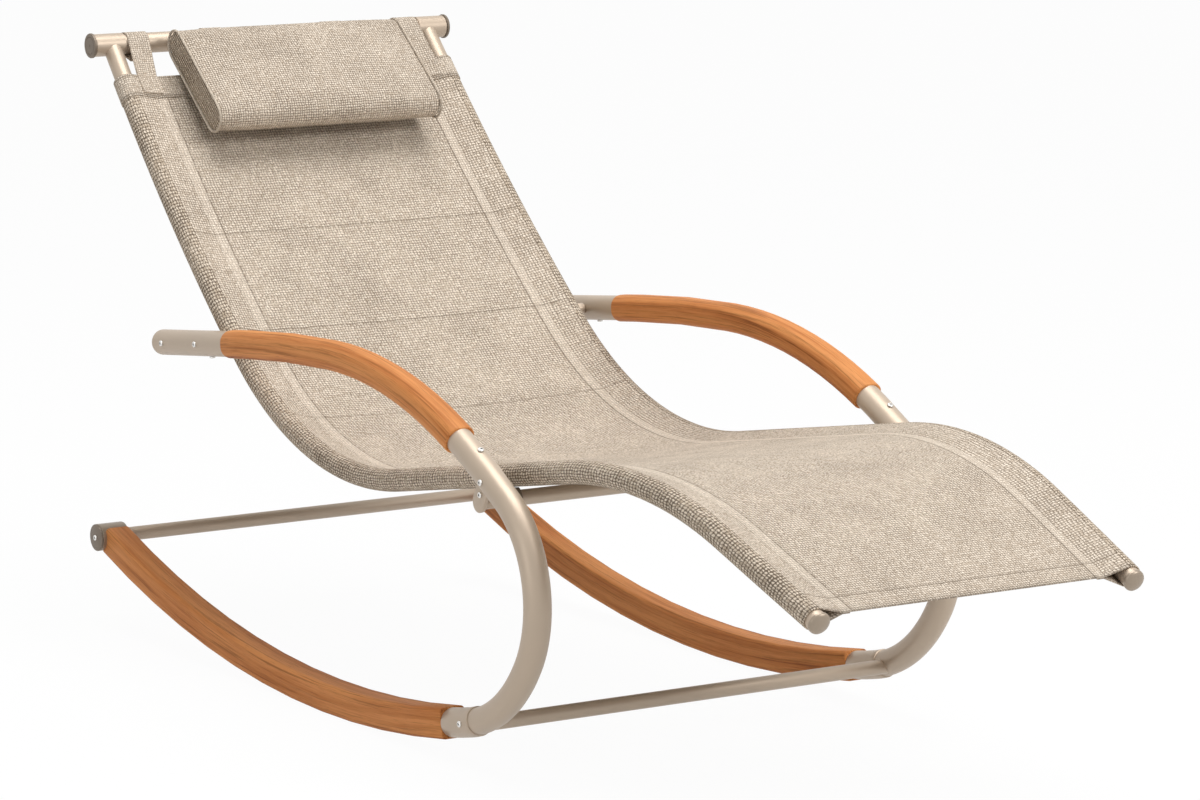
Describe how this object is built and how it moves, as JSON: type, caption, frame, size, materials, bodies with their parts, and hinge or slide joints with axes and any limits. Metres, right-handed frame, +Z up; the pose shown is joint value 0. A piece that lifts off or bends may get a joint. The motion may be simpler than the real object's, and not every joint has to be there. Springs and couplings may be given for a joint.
{
  "type": "rocking chaise lounge",
  "caption": "Low outdoor rocking lounger: bent metal side frames on long curved wooden rockers, wooden armrests, a fabric sling on bent rails and a head pillow looped over the top bar",
  "frame": {"origin": "on the ground, in the middle of the part's bounding box seen from above", "axes": "+X towards the foot end, +Y towards the sitter's left, +Z up"},
  "size_m": [1.69, 0.656, 0.8055],
  "materials": {
    "champagne_metal": "satin metallic powder coat, warm champagne",
    "dark_metal": "satin metallic, darker",
    "screw_steel": "bright turned heads",
    "oiled_wood": "oiled, satin, warm orange brown",
    "sling_fabric": "coarse woven melange, beige",
    "pillow_fabric": "coarse woven melange, beige, padded"
  },
  "bodies": {
    "chair": {"right_rocker": "oiled_wood", "left_rocker": "oiled_wood", "right_rocker_sleeve": "champagne_metal", "left_rocker_sleeve": "champagne_metal", "right_sleeve_screw": "screw_steel", "left_sleeve_screw": "screw_steel", "right_front_tube": "champagne_metal", "left_front_tube": "champagne_metal", "right_tube_top_screw": "screw_steel", "left_tube_top_screw": "screw_steel", "right_tube_side_screw": "screw_steel", "left_tube_side_screw": "screw_steel", "right_armrest": "oiled_wood", "left_armrest": "oiled_wood", "right_arm_stub": "champagne_metal", "left_arm_stub": "champagne_metal", "right_stub_plug": "champagne_metal", "left_stub_plug": "champagne_metal", "right_stub_end_screw": "screw_steel", "left_stub_end_screw": "screw_steel", "right_rail_bolt": "screw_steel", "left_rail_bolt": "screw_steel", "right_stub_under_screw": "screw_steel", "left_stub_under_screw": "screw_steel", "right_rail_spacer": "champagne_metal", "left_rail_spacer": "champagne_metal", "right_rear_block": "champagne_metal", "left_rear_block": "champagne_metal", "right_block_cap": "dark_metal", "left_block_cap": "dark_metal", "right_block_screw": "screw_steel", "left_block_screw": "screw_steel", "right_seat_lug": "champagne_metal", "left_seat_lug": "champagne_metal", "right_lug_bolt": "screw_steel", "left_lug_bolt": "screw_steel", "right_rail_saddle": "dark_metal", "left_rail_saddle": "dark_metal", "right_sling_rail": "champagne_metal", "left_sling_rail": "champagne_metal", "right_foot_plug": "champagne_metal", "left_foot_plug": "champagne_metal", "right_tee_sleeve": "champagne_metal", "left_tee_sleeve": "champagne_metal", "right_tee_cap": "dark_metal", "left_tee_cap": "dark_metal", "right_sling_strap": "sling_fabric", "left_sling_strap": "sling_fabric", "rear_crossbar": "champagne_metal", "front_crossbar": "champagne_metal", "back_crossbar": "champagne_metal", "seat_crossbar": "champagne_metal", "top_bar": "champagne_metal", "sling": "sling_fabric", "head_band": "sling_fabric"},
    "pillow": {"head_pillow": "pillow_fabric", "right_pillow_loop": "sling_fabric", "left_pillow_loop": "sling_fabric"}
  },
  "joints": [
    {"name": "pillow_flip", "type": "hinge", "parent": "chair", "child": "pillow", "pos_m": [-0.82797, 0, 0.78851], "axis": [0, -1, 0], "range_deg": [0, 295]}
  ]
}
